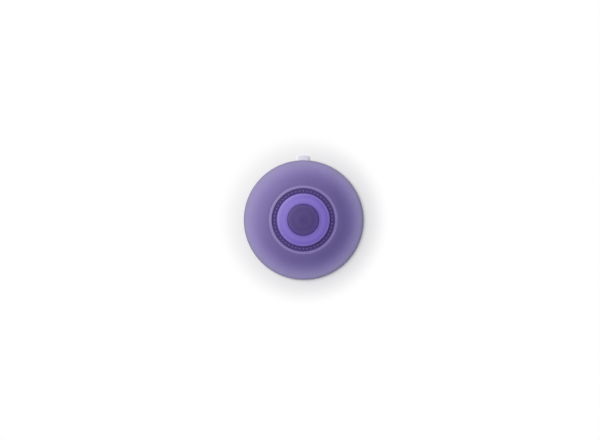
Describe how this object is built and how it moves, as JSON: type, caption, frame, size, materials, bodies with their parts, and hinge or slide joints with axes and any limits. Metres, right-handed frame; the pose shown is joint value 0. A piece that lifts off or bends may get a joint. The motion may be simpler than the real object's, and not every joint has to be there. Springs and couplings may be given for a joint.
{
  "type": "adhesive magnetic phone patch",
  "caption": "Round adhesive patch for a phone's back, with a flared skirt, a collar and grooved seat with grip studs, and a domed magnetic boss that a mount seats on.",
  "frame": {"origin": "centre of the adhesive pad's underside, where the patch meets the phone", "axes": "+Z out of the phone along the axis of the rings, +Y towards the pull tab, +X to the right of it"},
  "size_m": [0.06, 0.0624, 0.0055],
  "materials": {
    "adhesive_foam": "milky translucent acrylic foam, tacky",
    "base_plastic": "plain moulded",
    "skirt_plastic": "frosted soft lavender, fine moulded grain",
    "collar_plastic": "satin moulded",
    "stud_plastic": "satin moulded",
    "grip_rubber": "matte elastomer",
    "dome_plastic": "satin gloss",
    "cap_plastic": "satin moulded",
    "yoke_steel": "zinc plated, stamped",
    "carrier_plastic": "plain moulded",
    "magnet_plating": "nickel plated"
  },
  "bodies": {
    "root": {"adhesive_pad": "adhesive_foam", "base_plate": "base_plastic", "skirt": "skirt_plastic", "collar": "collar_plastic", "stud_ring": "stud_plastic", "grip_ring": "grip_rubber", "dome_ring": "dome_plastic", "centre_cap": "cap_plastic", "yoke_ring": "yoke_steel", "magnet_carrier": "carrier_plastic", "magnet_01": "magnet_plating", "magnet_02": "magnet_plating", "magnet_03": "magnet_plating", "magnet_04": "magnet_plating", "magnet_05": "magnet_plating", "magnet_06": "magnet_plating", "magnet_07": "magnet_plating", "magnet_08": "magnet_plating", "magnet_09": "magnet_plating", "magnet_10": "magnet_plating", "magnet_11": "magnet_plating", "magnet_12": "magnet_plating"}
  },
  "joints": []
}
